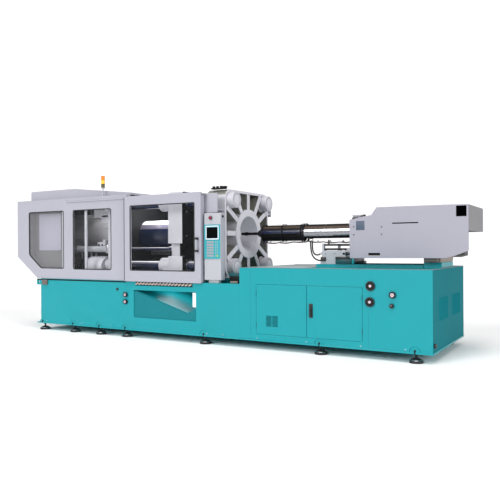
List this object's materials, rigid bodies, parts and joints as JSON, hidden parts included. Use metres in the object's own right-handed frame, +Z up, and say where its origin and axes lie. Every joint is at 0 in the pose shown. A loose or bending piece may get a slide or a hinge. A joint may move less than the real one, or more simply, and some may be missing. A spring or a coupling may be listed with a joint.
{
  "type": "injection moulding machine",
  "caption": "Horizontal injection moulding machine with a hydraulic clamp, sliding gates, guarded clamp end, heated barrel on a sliding carriage and a covered injection drive on a box base.",
  "frame": {"origin": "on the floor under the middle of the machine's overall box", "axes": "+X from the clamp end to the injection end, +Y from the operator's side to the rear, +Z up"},
  "size_m": [8.218, 2.124, 2.763],
  "materials": {
    "teal_paint": "gloss enamel",
    "grey_paint": "satin enamel",
    "white_casting": "satin enamel on cast iron",
    "hard_chrome": "ground and chromed",
    "dark_steel": "blackened",
    "bright_steel": "machined",
    "bright_sheet": "rolled sheet",
    "black_cover": "black heat-proof paint",
    "brass": "turned",
    "black_rubber": "moulded",
    "black_plastic": "moulded",
    "clear_pane": "clear sheet",
    "smoked_pane": "dark tinted sheet",
    "panel_film": "printed film",
    "red_plastic": "moulded",
    "red_lens": "clear moulded lens",
    "amber_lens": "clear moulded lens",
    "green_lens": "clear moulded lens"
  },
  "bodies": {
    "base": {"clamp_base": "teal_paint", "injection_base": "teal_paint", "part_chute": "teal_paint", "foot_pads": "black_rubber", "foot_studs": "bright_steel", "fan_housings": "black_plastic", "gauge_cases": "black_plastic", "water_manifold": "brass", "pump_set": "grey_paint", "stationary_platen": "white_casting", "tie_bars": "hard_chrome", "tie_bar_nuts": "bright_steel", "rear_platen": "white_casting", "main_cylinder": "white_casting", "traverse_cylinders": "bright_steel", "guard_front_panel": "grey_paint", "guard_back_panel": "grey_paint", "guard_end_panel": "grey_paint", "guard_roof": "grey_paint", "guard_windows": "clear_pane", "gate_rails": "grey_paint", "control_box": "grey_paint", "control_panel": "panel_film", "signal_pole": "bright_steel", "signal_lens_red": "red_lens", "signal_lens_amber": "amber_lens", "signal_lens_green": "green_lens", "slide_rails": "bright_steel", "carriage_support": "grey_paint", "carriage_cylinders": "bright_steel"},
    "moving_platen": {"moving_platen": "white_casting", "ram": "hard_chrome", "traverse_rods": "hard_chrome", "safety_bar": "dark_steel"},
    "ejector": {"ejector_rod": "bright_steel"},
    "front_gate": {"front_gate": "grey_paint", "front_gate_window": "clear_pane", "front_gate_handle": "bright_steel"},
    "rear_gate": {"rear_gate": "grey_paint", "rear_gate_window": "smoked_pane", "rear_gate_handle": "bright_steel"},
    "carriage": {"carriage": "grey_paint", "carriage_rods": "dark_steel", "barrel": "dark_steel", "barrel_cover": "black_cover", "barrel_guard": "bright_sheet", "hose_upper": "black_rubber", "hose_lower": "black_rubber", "heater_harness": "black_rubber", "injection_cover": "grey_paint", "feed_throat": "grey_paint"},
    "drive": {"injection_drive": "grey_paint"},
    "screw": {"screw": "bright_steel"},
    "shutter": {"throat_shutter": "bright_steel"},
    "door_left": {"cabinet_door_left": "teal_paint"},
    "door_right": {"cabinet_door_right": "teal_paint"},
    "latch": {"door_latch": "black_plastic"},
    "estop": {"estop_button": "red_plastic"},
    "fan_upper": {"fan_rotor_upper": "black_plastic"},
    "fan_lower": {"fan_rotor_lower": "black_plastic"},
    "knob": {"control_knob": "black_plastic"}
  },
  "joints": [
    {"name": "platen_slide", "type": "slide", "parent": "base", "child": "moving_platen", "axis": [1, 0, 0], "range_m": [-0.55, 0.15]},
    {"name": "ejector_slide", "type": "slide", "parent": "moving_platen", "child": "ejector", "axis": [1, 0, 0], "range_m": [0, 0.1]},
    {"name": "front_gate_slide", "type": "slide", "parent": "base", "child": "front_gate", "axis": [-1, 0, 0], "range_m": [0, 1.35]},
    {"name": "rear_gate_slide", "type": "slide", "parent": "base", "child": "rear_gate", "axis": [-1, 0, 0], "range_m": [0, 1.35]},
    {"name": "carriage_slide", "type": "slide", "parent": "base", "child": "carriage", "axis": [1, 0, 0], "range_m": [-0.1, 0.3]},
    {"name": "injection_slide", "type": "slide", "parent": "carriage", "child": "drive", "axis": [1, 0, 0], "range_m": [0, 0.28]},
    {"name": "screw_spin", "type": "hinge", "parent": "drive", "child": "screw", "pos_m": [2.7, 0, 1.73], "axis": [1, 0, 0], "continuous": true},
    {"name": "shutter_slide", "type": "slide", "parent": "carriage", "child": "shutter", "axis": [0, -1, 0], "range_m": [0, 0.09]},
    {"name": "door_left_hinge", "type": "hinge", "parent": "base", "child": "door_left", "pos_m": [1.186, -0.961, 0.59], "axis": [0, 0, -1], "range_deg": [0, 110]},
    {"name": "door_right_hinge", "type": "hinge", "parent": "base", "child": "door_right", "pos_m": [2.824, -0.961, 0.59], "axis": [0, 0, 1], "range_deg": [0, 110]},
    {"name": "latch_turn", "type": "hinge", "parent": "door_right", "child": "latch", "pos_m": [2.072, -0.97, 0.68], "axis": [0, -1, 0], "range_deg": [0, 90]},
    {"name": "estop_push", "type": "slide", "parent": "base", "child": "estop", "axis": [0, 1, 0], "range_m": [0, 0.005], "stiffness_N_per_m": 3000},
    {"name": "fan_upper_spin", "type": "hinge", "parent": "base", "child": "fan_upper", "pos_m": [2.939, -0.958, 0.977], "axis": [0, 1, 0], "continuous": true},
    {"name": "fan_lower_spin", "type": "hinge", "parent": "base", "child": "fan_lower", "pos_m": [2.931, -0.958, 0.764], "axis": [0, 1, 0], "continuous": true},
    {"name": "knob_turn", "type": "hinge", "parent": "base", "child": "knob", "pos_m": [3.228, -0.98, 0.724], "axis": [0, -1, 0], "range_deg": [-135, 135]}
  ]
}
